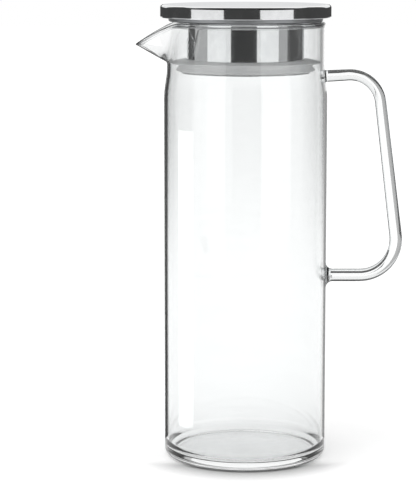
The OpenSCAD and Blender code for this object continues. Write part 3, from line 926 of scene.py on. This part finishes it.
# The spout is a trough of two walls, so its flag shows through both and not through one
def spoutShare(material, ray, parts):
    both = addNode(material, "ShaderNodeMath", {"operation": "SUBTRACT"},
                   {0: crossedAtMost(material, ray, 4).outputs["Value"],
                    1: crossedAtMost(material, ray, 2).outputs["Value"]})
    outside = leftOutside(material, ray, wallLimit)
    return addNode(material, "ShaderNodeMath", {"operation": "MULTIPLY"},
                   {0: both.outputs["Value"], 1: outside.outputs["Value"]})


# The softbox shows only in what the camera sees without glass before it
def bareShare(material, ray, parts):
    return crossedAtMost(material, ray, 0)


def stageCard(card, material, glossy, transmission):
    card.data.materials.append(material)
    card.visible_camera = False
    card.visible_diffuse = False
    card.visible_shadow = False
    card.visible_glossy = glossy
    card.visible_transmission = transmission


# Screens from one bearing to another, in degrees from the camera's side towards the handle
def makeScreen(name, start, end, tone, foot, top, share=screenShare):
    radius, turn = studio["screenRadius"], end - start
    steps = max(2, round(turn / studio["screenStep"]))
    screen = spinProfile(name, [(radius, foot), (radius, top)], steps, False, turn, start - 90)
    stageCard(screen, makeCardTone(name + "Tone", tone, share), True, True)


# A flat card through four corners in millimetres
def makeCard(name, corners):
    deselectAll()
    bpy.ops.mesh.primitive_plane_add(size=mm)
    card = bpy.context.object
    card.name = name
    for vertex, corner in zip(card.data.vertices, (corners[0], corners[1], corners[3], corners[2])):
        vertex.co = Vector(corner) * mm
    return card


def makeFlag(name, tone, share, corners):
    glossy = share is edgeShare
    stageCard(makeCard(name, corners), makeCardTone(name + "Tone", tone, share), glossy, True)


makeTable()

# Low screens give the bands on the cover's side and, with the middle ones over them, on the sleeve
dark, grey, split, top = studio["dark"], studio["grey"], studio["split"], studio["screenTop"]
lowScreens = {
    "front": (-28.4, 19.8, dark), "leftGrey": (-113, -77, grey), "left": (-149, -113, dark),
    "rightGrey": (62.9, 83.7, grey), "right": (83.7, 139, dark), "rightRear": (139, 152, grey),
}
for name, (start, end, tone) in lowScreens.items():
    makeScreen(name + "Low", start, end, tone, studio["lowFoot"], split)
    makeScreen(name + "Middle", start, end, tone, split, studio["middleTop"], middleShare)

# High screens carry the dark bands on over the cover's rounded edge
highScreens = {
    "frontHigh": (-28.6, 17, dark, split, top),
    "leftHigh": (-130, -74.5, dark, split, top),
    "leftRearHigh": (-180, -130, dark, split, studio["rearTop"]),
    "rightHigh": (61.8, 130, dark, split, top),
    "rightRearHigh": (130, 180, dark, split, studio["rearTop"]),
    "leftGap": (-74.5, -28.6, studio["ceiling"], studio["gapFoot"], top),
    "rightGap": (17, 61.8, studio["ceiling"], studio["gapFoot"], top),
}
for name, screen in highScreens.items():
    makeScreen(name, *screen, upperShare)

# Flags give clear glass its dark lines: their tone, the light that sees them, their corners
flags = {
    "armFlag": (0.1, rodShare, [(-400, 54, 104), (100, 54, 104), (100, 680, 1), (-400, 680, 1)]),
    "lowArmFlag": (0.1, rodShare, [(-100, 160, 3), (320, 160, 3), (320, 300, 3), (-100, 300, 3)]),
    "gripFlag": (0.5, rodShare, [(-450, 450, 34), (50, 450, 34), (50, 450, 197), (-450, 450, 197)]),
    "overFlag": (0.1, rodShare, [(-400, 80, 700), (250, 80, 700), (250, 600, 700), (-400, 600, 700)]),
    "midFlag": (0.1, underShare, [(-200, 60, 230), (120, 60, 230), (120, 260, 230), (-200, 260, 230)]),
    "sideFlag": (0.1, rodShare, [(500, 60, 3), (500, 300, 3), (500, 300, 400), (500, 60, 400)]),
    "spoutFlag": (0.02, spoutShare, [(-95, 60, 195), (-57, 60, 195), (-57, 60, 240), (-95, 60, 240)]),
    "leftEdgeFlag": (0.08, edgeShare, [(-76, 32, 1), (-57, 32, 1), (-57, 32, 262), (-76, 32, 262)]),
    "rightEdgeFlag": (0.36, edgeShare, [(57, 32, 1), (74, 32, 1), (74, 32, 225), (57, 32, 225)]),
}
for name, flag in flags.items():
    makeFlag(name, *flag)

# Softbox close to the left of the glass, for the upright highlight on the wall
softboxCorners = [(-126, 2.4, 3), (-120, -55.6, 3), (-120, -55.6, 198), (-126, 2.4, 198)]
stageCard(makeCard("softbox", softboxCorners),
          makeCardTone("softboxTone", studio["softbox"], bareShare), True, False)

# Dark ceiling over the camera's side, which draws the black line along the cover's edge
ceilingCorners = [(-1500, -1500, 720), (1500, -1500, 720), (1500, 0, 1000), (-1500, 0, 1000)]
stageCard(makeCard("ceiling", ceilingCorners),
          makeCardTone("ceilingTone", studio["ceiling"], upperShare), True, False)

deselectAll()
bpy.ops.object.light_add(type="SUN", location=(0, 0, 1))
key = bpy.context.object
key.name = "softKey"
key.data.energy = studio["key"]
key.data.angle = math.radians(studio["keySpread"])
key.rotation_euler = Vector(studio["keyFrom"]).to_track_quat("Z", "Y").to_euler()
key.visible_glossy = False


def makeSurround():
    world = bpy.data.worlds.new("whiteSurround")
    world.use_nodes = True
    world.node_tree.nodes.clear()
    scene.world = world
    ray = addNode(world, "ShaderNodeLightPath")
    seen = addNode(world, "ShaderNodeMath", {"operation": "MAXIMUM"},
                   {0: ray.outputs["Is Camera Ray"], 1: ray.outputs["Is Glossy Ray"]})
    clear = addNode(world, "ShaderNodeMath", {"operation": "MAXIMUM"},
                    {0: seen.outputs["Value"], 1: ray.outputs["Is Transmission Ray"]})
    level = addNode(world, "ShaderNodeMapRange", {"To Min": studio["ambient"], "To Max": 1.0},
                    {"Value": clear.outputs["Value"]})
    light = addNode(world, "ShaderNodeBackground", {"Color": (1, 1, 1, 1)},
                    {"Strength": level.outputs["Result"]})
    addNode(world, "ShaderNodeOutputWorld", links={"Surface": light.outputs["Background"]})


makeSurround()
print("studio lit")
